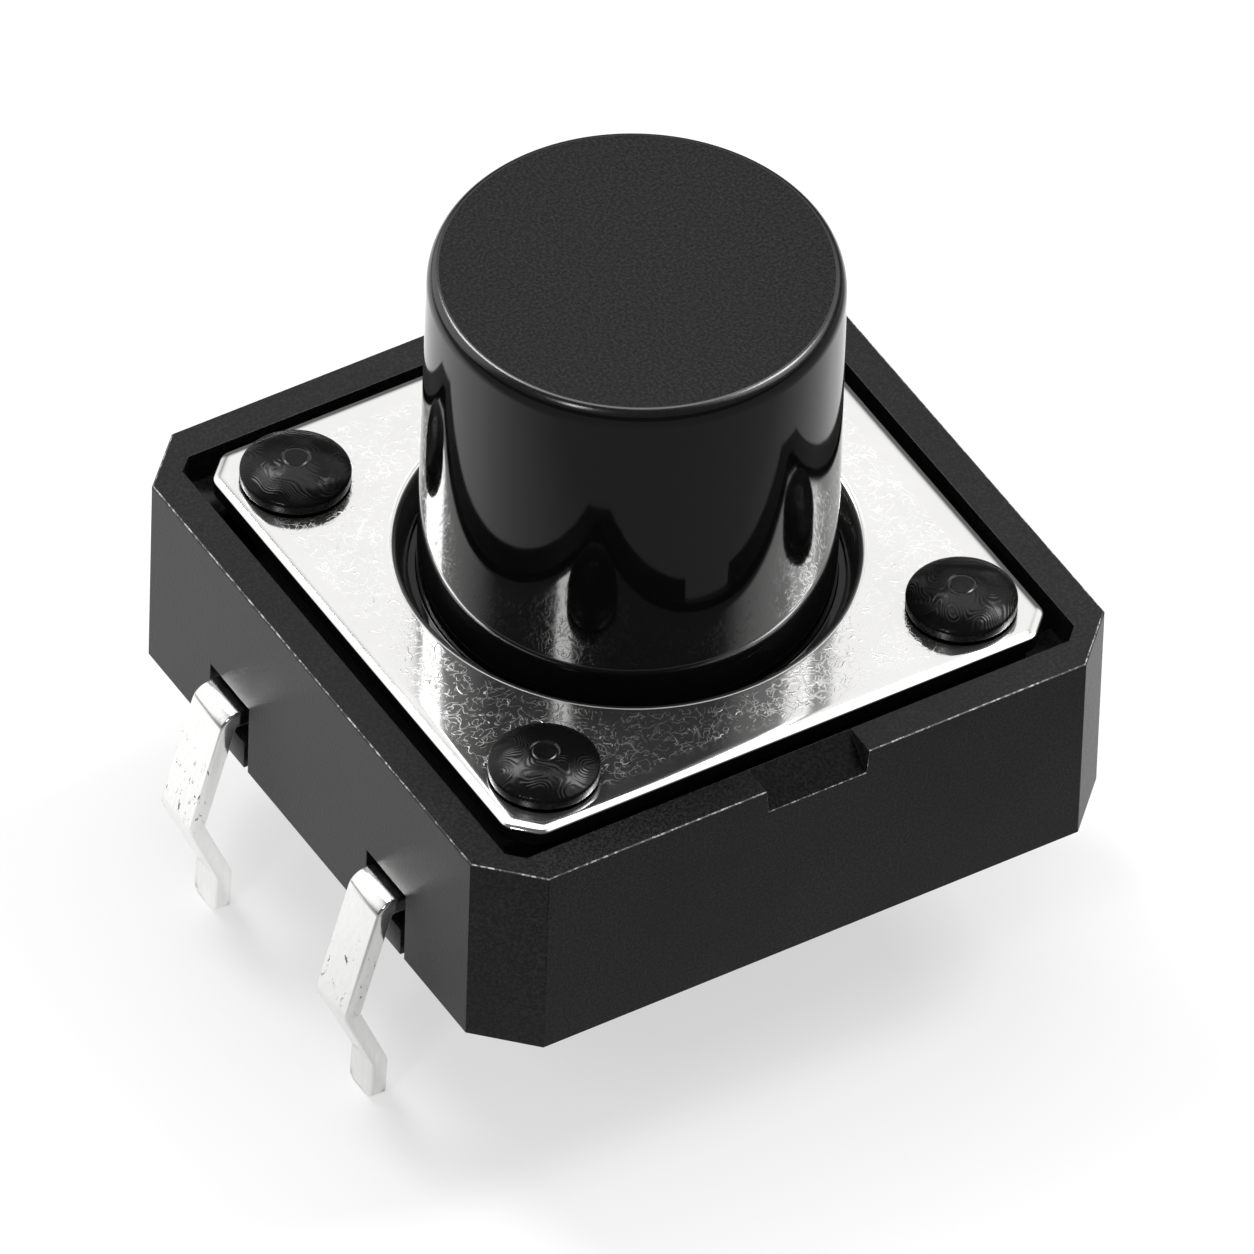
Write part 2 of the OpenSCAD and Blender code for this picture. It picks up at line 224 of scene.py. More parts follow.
class Finish:
    """A node material whose textures are laid out in millimetres."""

    def __init__(self, name, **settings):
        self.material = bpy.data.materials.new(name)
        self.material.use_nodes = True
        self.tree = self.material.node_tree
        self.shader = self.tree.nodes["Principled BSDF"]
        for socket, value in settings.items():
            self.shader.inputs[socket.replace("_", " ").title().replace("Ior", "IOR")].default_value = value
        place = self.tree.nodes.new("ShaderNodeTexCoord").outputs["Object"]
        self.place = self.vector("MULTIPLY", place, (1 / MM,) * 3)

    def feed(self, socket, value):
        if isinstance(value, bpy.types.NodeSocket):
            self.tree.links.new(value, socket)
        elif value is not None:
            socket.default_value = value

    def node(self, kind, output, inputs, **options):
        made = self.tree.nodes.new(kind)
        for option, value in options.items():
            setattr(made, option, value)
        for key, value in inputs.items():
            self.feed(made.inputs[key], value)
        return made.outputs[output]

    def vector(self, operation, a, b=None):
        output = "Value" if operation == "LENGTH" else "Vector"
        return self.node("ShaderNodeVectorMath", output, {0: a, 1: b}, operation=operation)

    def sum(self, operation, a, b=None, c=None):
        return self.node("ShaderNodeMath", 0, {0: a, 1: b, 2: c}, operation=operation)

    def noise(self, scale, detail=2.0, roughness=0.5, place=None, distortion=0.0):
        inputs = {
            "Vector": place or self.place,
            "Scale": scale,
            "Detail": detail,
            "Roughness": roughness,
            "Distortion": distortion,
        }
        return self.node("ShaderNodeTexNoise", "Fac", inputs)

    def parts(self, vector):
        made = self.tree.nodes.new("ShaderNodeSeparateXYZ")
        self.feed(made.inputs[0], vector)
        return made.outputs

    def line(self, value, at, wide):
        """One where a value is close to a given one, falling to nothing either side."""
        return self.span(self.sum("ABSOLUTE", self.sum("SUBTRACT", value, at)), wide / 2, wide, 1.0, 0.0)

    def span(self, value, low, high, to_low=0.0, to_high=1.0):
        """Maps low..high to to_low..to_high and holds the ends."""
        inputs = {"Value": value, "From Min": low, "From Max": high, "To Min": to_low, "To Max": to_high}
        return self.node("ShaderNodeMapRange", "Result", inputs)

    def blend(self, share, a, b):
        made = self.tree.nodes.new("ShaderNodeMix")
        made.data_type = "RGBA"
        self.feed(made.inputs["Factor"], share)
        self.feed(made.inputs["A"], (*a, 1) if isinstance(a, tuple) else a)
        self.feed(made.inputs["B"], (*b, 1) if isinstance(b, tuple) else b)
        colours = [s for s in made.outputs if s.type == "RGBA"]
        return colours[0]

    def bump(self, height, depth, normal=None):
        """Turns a 0..1 height into relief of that depth in millimetres."""
        inputs = {"Height": height, "Distance": depth * MM, "Strength": 1.0, "Normal": normal}
        return self.node("ShaderNodeBump", "Normal", inputs)

    def set(self, socket, value):
        self.feed(self.shader.inputs[socket], value)


def grey(v):
    return (v, v, v)


def black_plastic(name, tone, ior, roughness, grain):
    """Moulded black plastic with a fine spark-eroded grain and faint uneven patches."""
    f = Finish(name, ior=ior)
    fine = f.noise(19, 3, 0.7)
    patches = f.span(f.noise(0.55, 3, 0.5), 0.3, 0.7, 0.8, 1.25)
    specks = f.sum("MULTIPLY", patches, f.span(fine, 0.42, 0.68, tone * 0.4, tone * 2.6))
    f.set("Base Color", f.blend(specks, grey(0.0), grey(1.0)))
    f.set("Roughness", f.sum("ADD", f.span(fine, 0.3, 0.7, -0.05, 0.05), roughness))
    f.set("Normal", f.bump(fine, grain))
    return f.material


def housing_plastic():
    """Matte, with the grain of a spark-eroded mould."""
    return black_plastic("housing_plastic", 0.0055, 1.315, 0.34, 0.0045)


def notch_shaded_plastic():
    """The notch's floor: a darker, less reflecting copy of the housing's plastic, which is painted shade under the
    plate.
    """
    return black_plastic("notch_shaded_plastic", 0.004, 1.16, 0.3, 0.0045)


def rim_highlight_paint():
    """Painted highlight along the rim's chamfer: bright dots along a dark line, standing in for the light the rim's
    edge catches.
    """
    f = Finish("rim_highlight_paint", ior=1.45)
    height = f.parts(f.place)["Z"]
    highlight_band = f.sum("MAXIMUM", f.span(height, RIM_Z - 0.02, RIM_Z - 0.015), f.span(height, RIM_Z - 0.031, RIM_Z - 0.035))
    highlight_spots = f.sum("MULTIPLY", highlight_band, f.span(f.noise(7.5, 3, 0.75), 0.48, 0.65, 0.08, 1.0))
    # Painted highlight: light grey on the black plastic where the edge would catch the light
    f.set("Base Color", f.blend(highlight_spots, grey(0.012), grey(0.62)))
    f.set("Roughness", 0.42)
    f.set("Normal", f.bump(f.noise(11, 3, 0.6), 0.003))
    return f.material


def base_plastic():
    """Like the housing's, and smoother."""
    return black_plastic("base_plastic", 0.005, 1.34, 0.3, 0.0015)


def head_plastic():
    """Heat-staked plastic, melted smooth by the staking tool, with whorls like those of a fingerprint."""
    f = Finish("head_plastic", ior=1.27)
    flow = f.noise(1.25, 1, 0.4)
    whorls = f.sum("MULTIPLY_ADD", f.sum("SINE", f.sum("MULTIPLY", flow, 210.0)), 0.5, 0.5)
    fine = f.noise(14, 3, 0.6)
    f.set("Base Color", f.blend(fine, grey(0.003), grey(0.005)))
    f.set("Roughness", f.span(fine, 0.3, 0.7, 0.16, 0.22))
    f.set("Normal", f.bump(fine, 0.0008, f.bump(whorls, 0.0024)))
    return f.material


def cover_steel():
    """Bright stamped steel under faint curly marks, of which few are deep enough to catch the light."""
    f = Finish("cover_steel", metallic=0.97)

    def curls(scale, seed, width, share):
        """Thin lines along the contours of a smooth noise, broken into short curls."""
        there = f.vector("ADD", f.place, seed)
        level = f.sum("ABSOLUTE", f.sum("SUBTRACT", f.noise(scale, 0.6, 0.5, there, 0.25), 0.5))
        kept = f.span(f.noise(scale * 0.8, 1, 0.5, there), share, share + 0.04)
        return f.sum("MULTIPLY", f.span(level, 0.0, width, 1.0, 0.0), kept)

    faint = curls(4.2, (3.1, 5.2, 1.7), 0.028, 0.46)
    for scale, seed in ((5.3, (9.4, 2.3, 8.8)), (6.6, (6.3, 1.9, 4.4)), (3.4, (2.2, 8.1, 6.7))):
        faint = f.sum("MAXIMUM", faint, curls(scale, seed, 0.03, 0.48))
    deep = curls(5.0, (1.3, 7.7, 4.1), 0.04, 0.59)
    x, y, _ = f.parts(f.vector("ABSOLUTE", f.place))
    turn = f.vector("LENGTH", f.vector("MULTIPLY", f.place, (1, 1, 0)))
    side = f.sum("SUBTRACT", PLATE_W / 2, f.sum("MAXIMUM", x, y))
    corner = f.sum("SUBTRACT", (PLATE_W - PLATE_CHAMFER) * 0.707, f.sum("MULTIPLY", f.sum("ADD", x, y), 0.707))
    flat = f.span(f.sum("MINIMUM", side, corner), PLATE_ROLL, PLATE_ROLL + 0.25)
    flat = f.sum("MULTIPLY", flat, f.span(turn, HOLE_R + 0.1, HOLE_R + 0.2))
    deep = f.sum("MULTIPLY", f.sum("MULTIPLY", deep, 0.85), flat)
    marks = f.sum("MAXIMUM", f.sum("MULTIPLY", f.sum("MULTIPLY", faint, 0.62), flat), deep)
    rubbed = f.sum("MAXIMUM", f.line(turn, HOLE_R + 0.09, 0.016), f.line(turn, LIP_R + 0.015, 0.014))
    clouds = f.noise(0.9, 3, 0.55)
    height = f.parts(f.place)["Z"]
    outside = f.span(turn, HOLE_R + 0.7, HOLE_R + 0.8)
    # The plate's side below its top is dark: the stamping's sheared edge, darkened further as painted shade in the
    # groove round the plate
    sheared_and_shaded = f.sum("MINIMUM", outside, f.span(height, PLATE_Z - 0.055, PLATE_Z - 0.07))
    bright = f.blend(f.span(clouds, 0.3, 0.7), (0.89, 0.885, 0.875), (0.93, 0.925, 0.915))
    f.set("Base Color", f.blend(sheared_and_shaded, bright, grey(0.12)))
    smooth = f.sum("MULTIPLY_ADD", marks, 0.34, f.span(clouds, 0.3, 0.7, 0.085, 0.13))
    f.set("Roughness", f.sum("MAXIMUM", smooth, f.sum("MULTIPLY", rubbed, 0.7)))
    f.set("Normal", f.bump(deep, 0.0016, f.bump(marks, 0.0009, f.bump(clouds, 0.002))))
    return f.material


def button_gloss():
    """Polished black wall of the button."""
    f = Finish("button_gloss", ior=1.38)
    soft = f.noise(0.9, 2, 0.5)
    f.set("Base Color", f.blend(soft, grey(0.002), grey(0.003)))
    f.set("Roughness", f.span(soft, 0.3, 0.7, 0.045, 0.07))
    f.set("Normal", f.bump(soft, 0.002))
    return f.material


def burnished_plastic(name, ior, roughness):
    """Plastic rubbed bright and reflecting more strongly, as on the mark's ring and on the button's rounded edge,
    where it is also a painted highlight.
    """
    f = Finish(name, ior=ior)
    fine = f.noise(9, 3, 0.7)
    f.set("Base Color", f.blend(fine, grey(0.002), grey(0.006)))
    f.set("Roughness", f.sum("ADD", f.span(fine, 0.35, 0.65, -0.02, 0.03), roughness))
    f.set("Normal", f.bump(fine, 0.0006))
    return f.material


def button_matte():
    """Finely textured top of the button."""
    f = Finish("button_matte", ior=1.262)
    fine = f.noise(19, 3, 0.7)
    f.set("Base Color", f.blend(f.span(fine, 0.42, 0.68), grey(0.002), grey(0.02)))
    f.set("Roughness", f.span(fine, 0.3, 0.7, 0.34, 0.42))
    f.set("Normal", f.bump(fine, 0.009))
    return f.material


def dome_steel():
    """Spring steel with fine streaks from its rolling."""
    f = Finish("dome_steel", metallic=1.0)
    rolled = f.vector("MULTIPLY", f.place, (0.6, 14.0, 1.0))
    streaks = f.noise(2.0, 4, 0.6, rolled)
    f.set("Base Color", f.blend(streaks, (0.62, 0.62, 0.63), (0.76, 0.76, 0.77)))
    f.set("Roughness", f.span(streaks, 0.3, 0.7, 0.16, 0.3))
    f.set("Normal", f.bump(streaks, 0.001))
    return f.material


def contact_tin():
    """Tin plate: bright and smooth, with thin dark scuffs where the legs were bent in their tool."""
    f = Finish("contact_tin", metallic=1.0)
    clouds = f.noise(1.8, 4, 0.6)
    drawn = f.vector("MULTIPLY", f.place, (6.0, 6.0, 0.8))
    streaks = f.noise(2.2, 4, 0.65, drawn)
    flecks = f.span(f.noise(10.0, 4, 0.72, f.vector("MULTIPLY", f.place, (1.0, 1.0, 0.5)), 0.6), 0.6, 0.63)
    height = f.parts(f.place)["Z"]
    zone = f.sum("MULTIPLY", f.span(height, -1.3, -0.8), f.span(height, 0.45, 0.1))
    scuffs = f.sum("MULTIPLY", f.sum("MULTIPLY", flecks, zone), f.span(f.noise(2.4, 2, 0.5), 0.42, 0.5))
    tin = f.blend(f.span(streaks, 0.3, 0.7), (0.885, 0.88, 0.87), (0.945, 0.945, 0.94))
    f.set("Base Color", f.blend(scuffs, tin, (0.10, 0.095, 0.09)))
    f.set("Roughness", f.sum("ADD", f.span(clouds, 0.3, 0.7, 0.10, 0.18), f.sum("MULTIPLY", scuffs, 0.25)))
    f.set("Normal", f.bump(streaks, 0.0012, f.bump(clouds, 0.004)))
    return f.material


# Pieces


def slope_notch(bm):
    """Lifts the inner edge of the notch's floor to the rim's inner edge, as the photo shows it."""
    inner = [v for v in bm.verts if abs(v.co.x) < NOTCH_REACH and abs(v.co.y + POCKET_W / 2) < NEAR]
    tops = [v for v in inner if v.co.z > RIM_Z - NEAR]
    for v in inner:
        if abs(v.co.z - NOTCH_Z) < NEAR:
            v.co = min(tops, key=lambda t: abs(t.co.x - v.co.x)).co
    bmesh.ops.remove_doubles(bm, verts=bm.verts, dist=1e-4)


def make_housing():
    bm = cad_mesh("housing")
    slope_notch(bm)

    def outer(p):
        return max(abs(p.x), abs(p.y)) > BODY_W / 2 - 0.04 or abs(p.x) + abs(p.y) > BODY_W - BODY_CHAMFER - 0.06

    def rounded(edge):
        a, b = (v.co for v in edge.verts)
        if min(a.z, b.z) > RIM_Z - 0.035 and outer(a) and outer(b):
            return False
        shell = outer(a) and outer(b)
        rim = min(a.z, b.z) > RIM_Z - 0.1 and min(max(abs(p.x), abs(p.y)) for p in (a, b)) > POCKET_W / 2 - 0.3
        notch = all(p.z > NOTCH_Z - 0.01 and p.y < 0.01 - POCKET_W / 2 and abs(p.x) < NOTCH_REACH for p in (a, b))
        return shell or rim or notch

    round_edges(bm, rounded, HOUSING_ROUND)
    bm.normal_update()
    for face in bm.faces:
        low = min(v.co.z for v in face.verts)
        above_notch = low > NOTCH_Z - 0.03
        at_notch = all(v.co.y < 0.03 - BODY_W / 2 and abs(v.co.x) < NOTCH_REACH for v in face.verts)
        lip = above_notch and at_notch and -0.9 < face.normal.y < -0.4
        # The rim's chamfer and the notch's lip take the painted highlight, and the notch's sloped floor the darker
        # plastic that is painted shade
        rim = low > RIM_Z - 0.05 and 0.3 < face.normal.z < 0.9 and all(outer(v.co) for v in face.verts)
        ramp = above_notch and -0.7 < face.normal.y < -0.5 and face.calc_area() > 0.5
        face.material_index = 2 if ramp else 1 if rim or lip else 0
    materials = [housing_plastic(), rim_highlight_paint(), notch_shaded_plastic()]
    piece("housing_case", bm, "switch_body", "housing", materials)


def head_profile():
    """Half the outline of a staked head, with the tool's round mark in its top."""
    top = PLATE_Z + HEAD_EDGE + HEAD_CROWN
    crown_r = (HEAD_R**2 + HEAD_CROWN**2) / (2 * HEAD_CROWN)

    def crown(r):
        return top - crown_r + math.sqrt(crown_r**2 - r**2)

    rounds = [(r, crown(r), 0.0) for r in (0.78, 0.66, 0.54, 0.42, 0.32)]
    rim = [
        (MARK_R + 0.035, crown(MARK_R), 0.012),
        (MARK_R + 0.012, crown(MARK_R) - 0.018, 0.006),
        (MARK_R - 0.012, crown(MARK_R) - 0.018, 0.006),
        (MARK_R - 0.035, top - MARK_DEPTH, 0.012),
    ]
    side = [(0, PLATE_Z, 0), (HEAD_R - 0.11, PLATE_Z, 0.02), (HEAD_R - 0.004, PLATE_Z + 0.07, 0.04)]
    shoulder = [(HEAD_R, crown(HEAD_R) - 0.01, 0.07)]
    return fillet([*side, *shoulder, *rounds, *rim, (0, top - MARK_DEPTH - 0.004, 0)], steps=4)


def make_base():
    bm = cad_mesh("base")
    cut = bmesh.ops.bisect_plane(
        bm,
        geom=[*bm.verts, *bm.edges, *bm.faces],
        dist=1e-5,
        plane_co=(0, 0, PLATE_Z),
        plane_no=(0, 0, 1),
        clear_outer=True,
    )
    bmesh.ops.holes_fill(bm, edges=[e for e in cut["geom_cut"] if isinstance(e, bmesh.types.BMEdge)])
    round_edges(bm, lambda e: all(abs(v.co.x) > BODY_W / 2 - 0.01 for v in e.verts), BASE_ROUND, 2)
    for face in bm.faces:
        face.material_index = 0
    for x in (-POST_AT, POST_AT):
        for y in (-POST_AT, POST_AT):
            before = set(bm.faces)
            lathe(bm, head_profile(), 96, (x, y))
            for face in set(bm.faces) - before:
                middle = face.calc_center_median()
                off = math.hypot(middle.x - x, middle.y - y) - MARK_R
                ring = abs(off) < 0.03 and middle.z > PLATE_Z + HEAD_EDGE
                face.material_index = 2 if ring else 1 if middle.z > PLATE_Z + HEAD_EDGE - 0.06 else 0
    materials = [base_plastic(), head_plastic(), burnished_plastic("mark_ring", 1.5, 0.2)]
    piece("base_moulding", bm, "switch_body", "base", materials)


def make_cover():
    """The plate with its rolled edge, the drawn collar and the four post holes."""
    bm = bmesh.new()
    # Outside of the plate, from its underside to the flat top
    outline = [(0.03, PLATE_SEAT_Z), (0.0, PLATE_SEAT_Z + 0.03)]
    for i in range(13):
        a = math.radians(7.5 * i)
        outline.append((PLATE_ROLL * (1 - math.cos(a)), PLATE_Z - PLATE_DROP * (1 - math.sin(a))))
    rings = []
    for inset, z in outline:
        shape = chamfered_square(PLATE_W - 2 * inset, PLATE_CHAMFER - 0.5858 * inset, 0.3 - inset)
        rings.append([bm.verts.new((x, y, z)) for x, y in shape])
    for low, high in zip(rings, rings[1:]):
        join_rings(bm, low, high)
    # Drawn collar, from the flat top down the bore and up behind it to the underside
    root = HOLE_R + HOLE_ROUND
    collar = fillet(
        [
            (root, PLATE_Z, 0),
            (HOLE_R, PLATE_Z, HOLE_ROUND),
            (LIP_R, LIP_Z, 0.04),
            (LIP_R + COLLAR_T, LIP_Z, 0.04),
            (root + COLLAR_T, PLATE_SEAT_Z, 0.05),
            (root + COLLAR_T + 0.06, PLATE_SEAT_Z, 0),
        ],
        steps=7,
    )
    bore = lathe(bm, collar)
    holes = []
    for x in (-POST_AT, POST_AT):
        for y in (-POST_AT, POST_AT):
            holes.append(lathe(bm, [(POST_HOLE_R, PLATE_SEAT_Z), (POST_HOLE_R, PLATE_Z)], 48, (x, y)))

    def fill(loops):
        """Fills the flat face between an outer loop and the holes in it."""
        edges = [bm.edges.get((a, b)) for loop in loops for a, b in zip(loop, loop[1:] + loop[:1])]
        bmesh.ops.triangle_fill(bm, edges=edges, use_beauty=True)

    fill([rings[-1], bore[0], *[h[1] for h in holes]])
    fill([rings[0], bore[-1], *[h[0] for h in holes]])
    piece("cover_sheet", bm, "switch_body", "cover_plate", [cover_steel()])


def make_button():
    bm = bmesh.new()
    profile = fillet(
        [
            (0, NUB_Z, 0),
            (NUB_R, NUB_Z, 0.15),
            (NUB_R, FLANGE_Z, 0.06),
            (FLANGE_R, FLANGE_Z, 0.06),
            (FLANGE_R, FLANGE_TOP_Z, 0.06),
            (BUTTON_R, FLANGE_TOP_Z, 0.03),
            (BUTTON_TOP_R, BUTTON_Z - EDGE_DOWN, 0),
        ],
        steps=7,
    )
    for i in range(1, 13):
        a = math.radians(7.5 * i)
        profile.append((BUTTON_TOP_R - EDGE_IN * (1 - math.cos(a)), BUTTON_Z - EDGE_DOWN * (1 - math.sin(a))))
    lathe(bm, [*profile, (BUTTON_TOP_R - EDGE_IN - 0.025, BUTTON_Z), (0, BUTTON_Z)])
    for face in bm.faces:
        middle = face.calc_center_median()
        # The top of the rounded edge: rubbed plastic, and a painted highlight by its stronger reflection
        worn_highlight = middle.z > BUTTON_Z - WORN_HIGHLIGHT_SHARE * EDGE_DOWN
        face.material_index = 1 if middle.z > BUTTON_Z - 1e-4 else 2 if worn_highlight else 0
    for side in (-1, 1):
        ends = sorted((side * (FLANGE_R - 0.4), side * EAR_REACH))
        block(bm, (ends[0], -EAR_W / 2, FLANGE_Z + 0.002), (ends[1], EAR_W / 2, FLANGE_TOP_Z - 0.002), 0.04)
    materials = [button_gloss(), button_matte(), burnished_plastic("button_edge_highlight", 1.72, 0.2)]
    piece("button_cap", bm, "plunger", "button", materials)


def make_dome():
    """A thin spherical cap at rest, with a mesh of its own; the real dome flattens as the button goes down."""
    bm = bmesh.new()
    sphere_r = (DOME_R**2 + DOME_RISE**2) / (2 * DOME_RISE)

    def cap(r, lift):
        return DOME_Z + lift + DOME_RISE - sphere_r + math.sqrt(sphere_r**2 - r**2)

    radii = [DOME_R * i / 16 for i in range(17)]
    under = [(r, cap(r, 0)) for r in radii]
    over = [(r, cap(r, DOME_T)) for r in reversed(radii)]
    lathe(bm, under + over, 128)
    obj = piece("dome_disc", bm, "switch_body", "snap_dome", [dome_steel()])
    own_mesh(obj)


def leg_width(z):
    """A leg narrows from its knee to its heel."""
    share = min(max((-KNEE_D - z) / (HEEL_D - KNEE_D), 0), 1)
    return STRIP_W + (TIP_W - STRIP_W) * share


def sheet_section(w, t, outer_r, inner_r):
    """Outline across a strip: (sideways, outwards) points, softer on the outer face."""
    a, b = w / 2, t / 2
    return fillet([(a, -b, inner_r), (a, b, outer_r), (-a, b, outer_r), (-a, -b, inner_r)], 3, closed=True)


def strip(bm, y):
    """One strip with a leg at each end, bent along its middle line."""
    middle = STRIP_Z - STRIP_T / 2
    half = fillet(
        [
            (0, middle, 0),
            (LEG_X, middle, BEND_R),
            (LEG_X + KNEE_OUT, -KNEE_D, BEND_R),
            (LEG_X - HEEL_IN, -HEEL_D, BEND_R),
            (LEG_X, 0.006 - LEG_L, 0),
        ],
        steps=9,
    )
    tip, above = Vector(half[-1]), Vector(half[-2])
    up = (above - tip).normalized()
    ends = [tip + up * s for s in (TIP_CHAMFER, 0.055, 0.025, 0.008, 0.0)]
    pinch = {len(half) - 1 + k: v for k, v in enumerate((0.0, 0.035, 0.06, 0.08, 0.1))}
    half = half[:-1] + [tuple(p) for p in ends]
    path = [(-x, z) for x, z in reversed(half[1:])] + half
    last = len(path) - 1
    rings = []
    for k, (x, z) in enumerate(path):
        before, after = Vector(path[max(k - 1, 0)]), Vector(path[min(k + 1, last)])
        along = (after - before).normalized()
        out = Vector((-along.y, along.x))
        from_middle = (k - (len(half) - 1)) if x >= 0 else (len(half) - 1 - k)
        trim = pinch.get(from_middle, 0.0)
        section = sheet_section(leg_width(z) - 2 * trim, STRIP_T - 0.5 * trim, 0.05, 0.025)
        rings.append([bm.verts.new((x + out.x * n, y + s, z + out.y * n)) for s, n in section])
    for low, high in zip(rings, rings[1:]):
        join_rings(bm, low, high)
    bm.faces.new(list(reversed(rings[0])))
    bm.faces.new(rings[-1])


def make_contacts():
    tin = contact_tin()
    low = STRIP_Z - STRIP_T
    bm = bmesh.new()
    strip(bm, STRIP_AT)
    block(bm, (-STRIP_W / 2, 0, low + 0.002), (STRIP_W / 2, STRIP_AT - 0.3, STRIP_Z - 0.002), 0.03)
    pad = [(0, low, 0), (CENTRE_PAD_R, low, 0.03), (CENTRE_PAD_R, CENTRE_PAD_Z, 0.08), (0, CENTRE_PAD_Z, 0)]
    lathe(bm, fillet(pad), 64)
    piece("centre_contact_strip", bm, "switch_body", "centre_contact", [tin])

    bm = bmesh.new()
    strip(bm, -STRIP_AT)
    pad = [(0, low + 0.002, 0), (RIM_PAD_R, low + 0.002, 0.03), (RIM_PAD_R, DOME_Z, 0.05), (0, DOME_Z, 0)]
    for x in (-RIM_PAD_X, RIM_PAD_X):
        lathe(bm, fillet(pad), 64, (x, -STRIP_AT))
    piece("rim_contact_strip", bm, "switch_body", "rim_contact", [tin])


make_housing()
make_base()
make_cover()
make_button()
make_dome()
make_contacts()


# Floor, light and camera


def make_floor():
    """A white sheet, which keeps the switch's shadow, with a painted pool of light that only reflections see,
    brightest behind the switch.
    """
    f = Finish("floor_paint", roughness=0.9, specular_ior_level=0.0)
    path = f.tree.nodes.new("ShaderNodeLightPath").outputs
    mirrored = f.sum("MAXIMUM", path["Is Glossy Ray"], path["Is Transmission Ray"])
    # Painted pool of light: in reflections the sheet's colour and glow fall away from a point behind the switch
    away = f.vector("LENGTH", f.vector("MULTIPLY", f.vector("SUBTRACT", f.place, (*POOL_AT, 0)), (1, 1, 0)))
    painted_pool = f.span(away, *POOL_EDGE, POOL_HIGH, POOL_LOW)
    light = f.sum("MAXIMUM", f.sum("SUBTRACT", 1.0, mirrored), painted_pool)
    paint = f.blend(f.noise(0.05, 2), grey(0.93), grey(0.94))
    f.set("Base Color", f.vector("MULTIPLY", paint, light))
    # Nearly all white towards the sheet's own edge, where it meets the white backdrop
    edge = f.span(away, *FLOOR_EDGE, FLOOR_WHITE, 1.0)
    share = f.sum("MULTIPLY", f.sum("MAXIMUM", path["Is Camera Ray"], mirrored), edge)
    glow = f.node("ShaderNodeEmission", 0, {"Color": (1, 1, 1, 1), "Strength": light})
    both = f.node("ShaderNodeMixShader", 0, {0: share, 1: f.shader.outputs[0], 2: glow})
    output = next(n for n in f.tree.nodes if n.type == "OUTPUT_MATERIAL")
    f.feed(output.inputs["Surface"], both)
    bm = bmesh.new()
    bmesh.ops.create_grid(bm, x_segments=1, y_segments=1, size=FLOOR_SIZE)
    mesh = bpy.data.meshes.new("floor")
    bm.to_mesh(mesh)
    bm.free()
    mesh.materials.append(f.material)
    obj = bpy.data.objects.new("floor", mesh)
    obj.location.z = -LEG_L * MM
    bpy.context.scene.collection.objects.link(obj)


def direction(azimuth, elevation):
    """Unit vector towards a place round the switch: azimuth 0 is -Y and 90 is +X, in degrees."""
    a, e = math.radians(azimuth), math.radians(elevation)
    return Vector((math.sin(a) * math.cos(e), -math.cos(a) * math.cos(e), math.sin(e)))


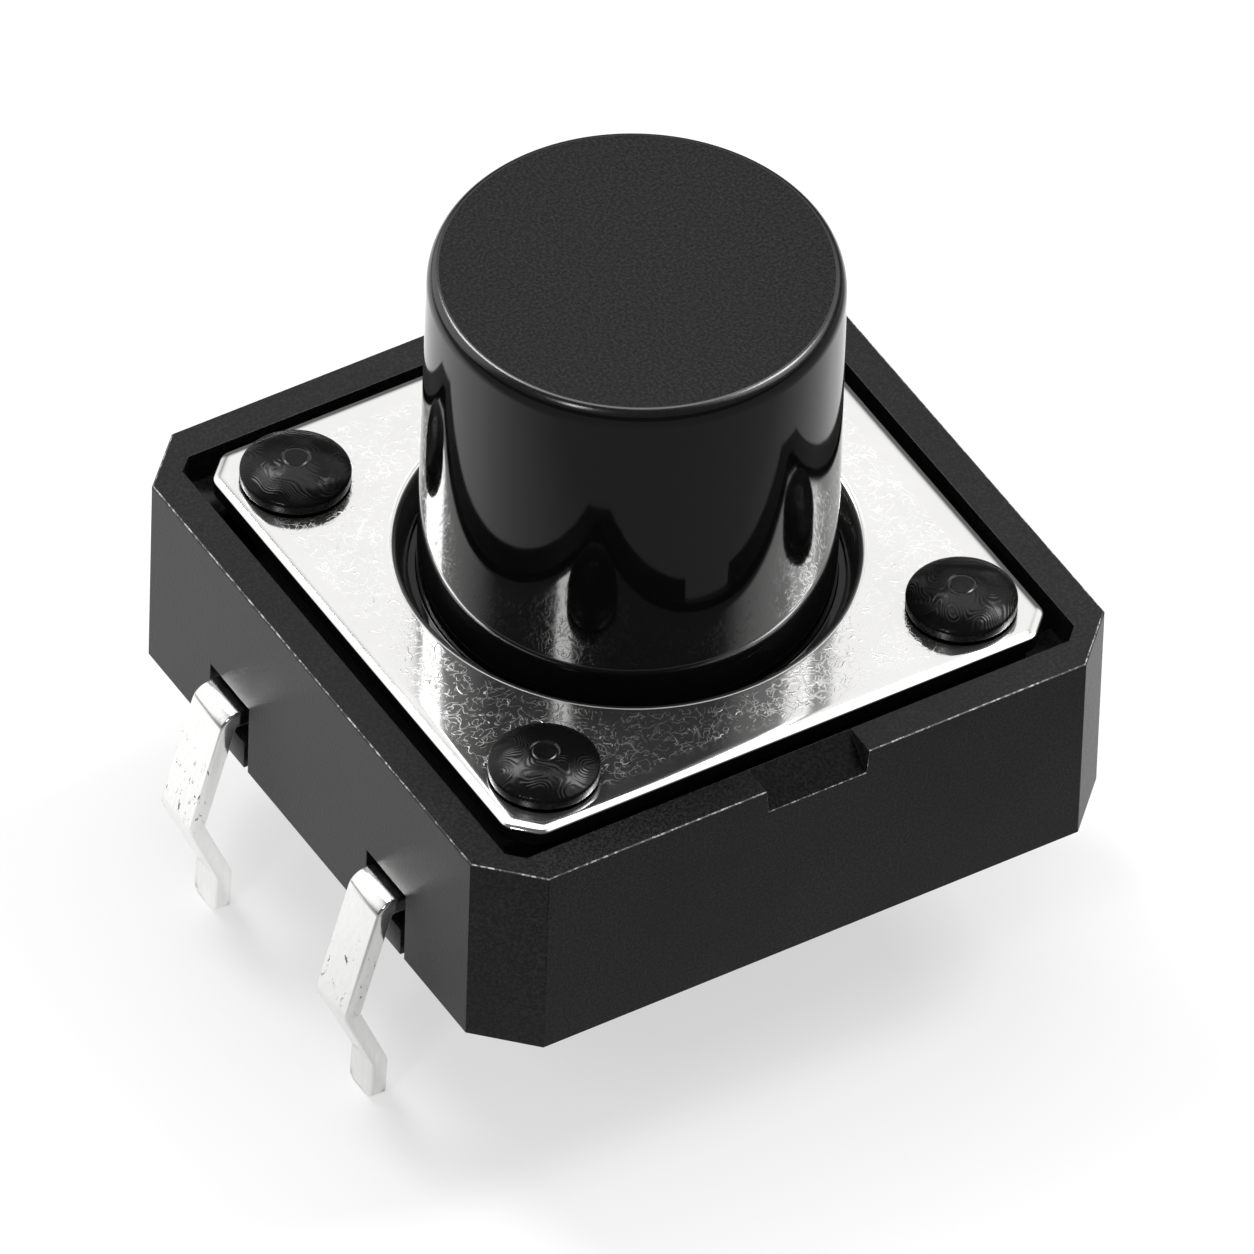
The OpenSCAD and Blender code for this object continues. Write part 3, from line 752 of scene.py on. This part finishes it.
def make_world():
    """A plain studio: white to the camera, and dim walls with bright parts in reflections."""
    world = bpy.data.worlds.new("studio")
    bpy.context.scene.world = world
    world.use_nodes = True
    tree = world.node_tree
    tree.nodes.clear()

    def add(kind, inputs, **options):
        made = tree.nodes.new(kind)
        for option, value in options.items():
            setattr(made, option, value)
        for key, value in inputs.items():
            if isinstance(value, bpy.types.NodeSocket):
                tree.links.new(value, made.inputs[key])
            else:
                made.inputs[key].default_value = value
        return made

    place = add("ShaderNodeTexCoord", {}).outputs["Generated"]
    walls = WALLS
    for azimuth, elevation, inner, outer, bright in GLOWS:
        towards = add("ShaderNodeVectorMath", {0: place, 1: direction(azimuth, elevation)}, operation="DOT_PRODUCT")
        patch = add(
            "ShaderNodeMapRange",
            {
                "Value": towards.outputs["Value"],
                "From Min": math.cos(math.radians(outer)),
                "From Max": math.cos(math.radians(inner)),
                "To Min": 0.0,
                "To Max": bright,
            },
            interpolation_type="SMOOTHSTEP",
        )
        walls = add("ShaderNodeMath", {0: walls, 1: patch.outputs["Result"]}, operation="MAXIMUM").outputs[0]
    path = add("ShaderNodeLightPath", {}).outputs
    seen_in = {0: path["Is Glossy Ray"], 1: path["Is Transmission Ray"]}
    mirrored = add("ShaderNodeMath", seen_in, operation="MAXIMUM").outputs[0]
    shown = add("ShaderNodeMath", {0: mirrored, 1: walls}, operation="MULTIPLY").outputs[0]
    rest = add("ShaderNodeMath", {0: 1.0, 1: mirrored}, operation="SUBTRACT").outputs[0]
    ambient = add("ShaderNodeMath", {0: rest, 1: AMBIENT, 2: shown}, operation="MULTIPLY_ADD").outputs[0]
    strength = add("ShaderNodeMath", {0: path["Is Camera Ray"], 1: ambient}, operation="MAXIMUM").outputs[0]
    background = add("ShaderNodeBackground", {"Color": (1, 1, 1, 1), "Strength": strength})
    output = add("ShaderNodeOutputWorld", {})
    tree.links.new(background.outputs[0], output.inputs["Surface"])


def make_lamps():
    """Soft lamps that face the switch, each as bright as its power says and hidden from the camera."""
    for name, azimuth, elevation, wide, tall, power in SOFTBOXES:
        lamp = bpy.data.lights.new(name, "AREA")
        lamp.shape = "RECTANGLE"
        lamp.size = 2 * LAMP_AWAY * math.tan(math.radians(wide / 2))
        lamp.size_y = 2 * LAMP_AWAY * math.tan(math.radians(tall / 2))
        lamp.energy = power * math.pi * lamp.size * lamp.size_y
        obj = bpy.data.objects.new(name, lamp)
        obj.visible_camera = False
        towards = direction(azimuth, elevation)
        obj.location = towards * LAMP_AWAY
        obj.rotation_mode = "QUATERNION"
        obj.rotation_quaternion = towards.to_track_quat("Z", "Y")
        bpy.context.scene.collection.objects.link(obj)


def make_camera():
    """The photograph's view, which a long lens gives almost without perspective."""
    roll = math.radians(CAMERA_ROLL)
    back = direction(CAMERA_AZIMUTH, CAMERA_ELEVATION)
    a = math.radians(CAMERA_AZIMUTH)
    right = Vector((math.cos(a), math.sin(a), 0))
    up = back.cross(right)
    across = right * math.cos(roll) + up * math.sin(roll)
    along = up * math.cos(roll) - right * math.sin(roll)
    camera = bpy.data.cameras.new("camera")
    camera.sensor_width = SENSOR_W
    camera.lens = SCALE * CAMERA_AWAY / PHOTO_W * SENSOR_W
    camera.clip_start, camera.clip_end = 0.01, 10
    obj = bpy.data.objects.new("camera", camera)
    obj.rotation_mode = "QUATERNION"
    obj.rotation_quaternion = Matrix((across, along, back)).transposed().to_quaternion()
    obj.location = (back * CAMERA_AWAY + across * ASIDE + along * UPWARDS) * MM
    bpy.context.scene.collection.objects.link(obj)
    bpy.context.scene.camera = obj


make_floor()
make_world()
make_lamps()
make_camera()
bpy.context.scene.view_settings.view_transform = "Standard"
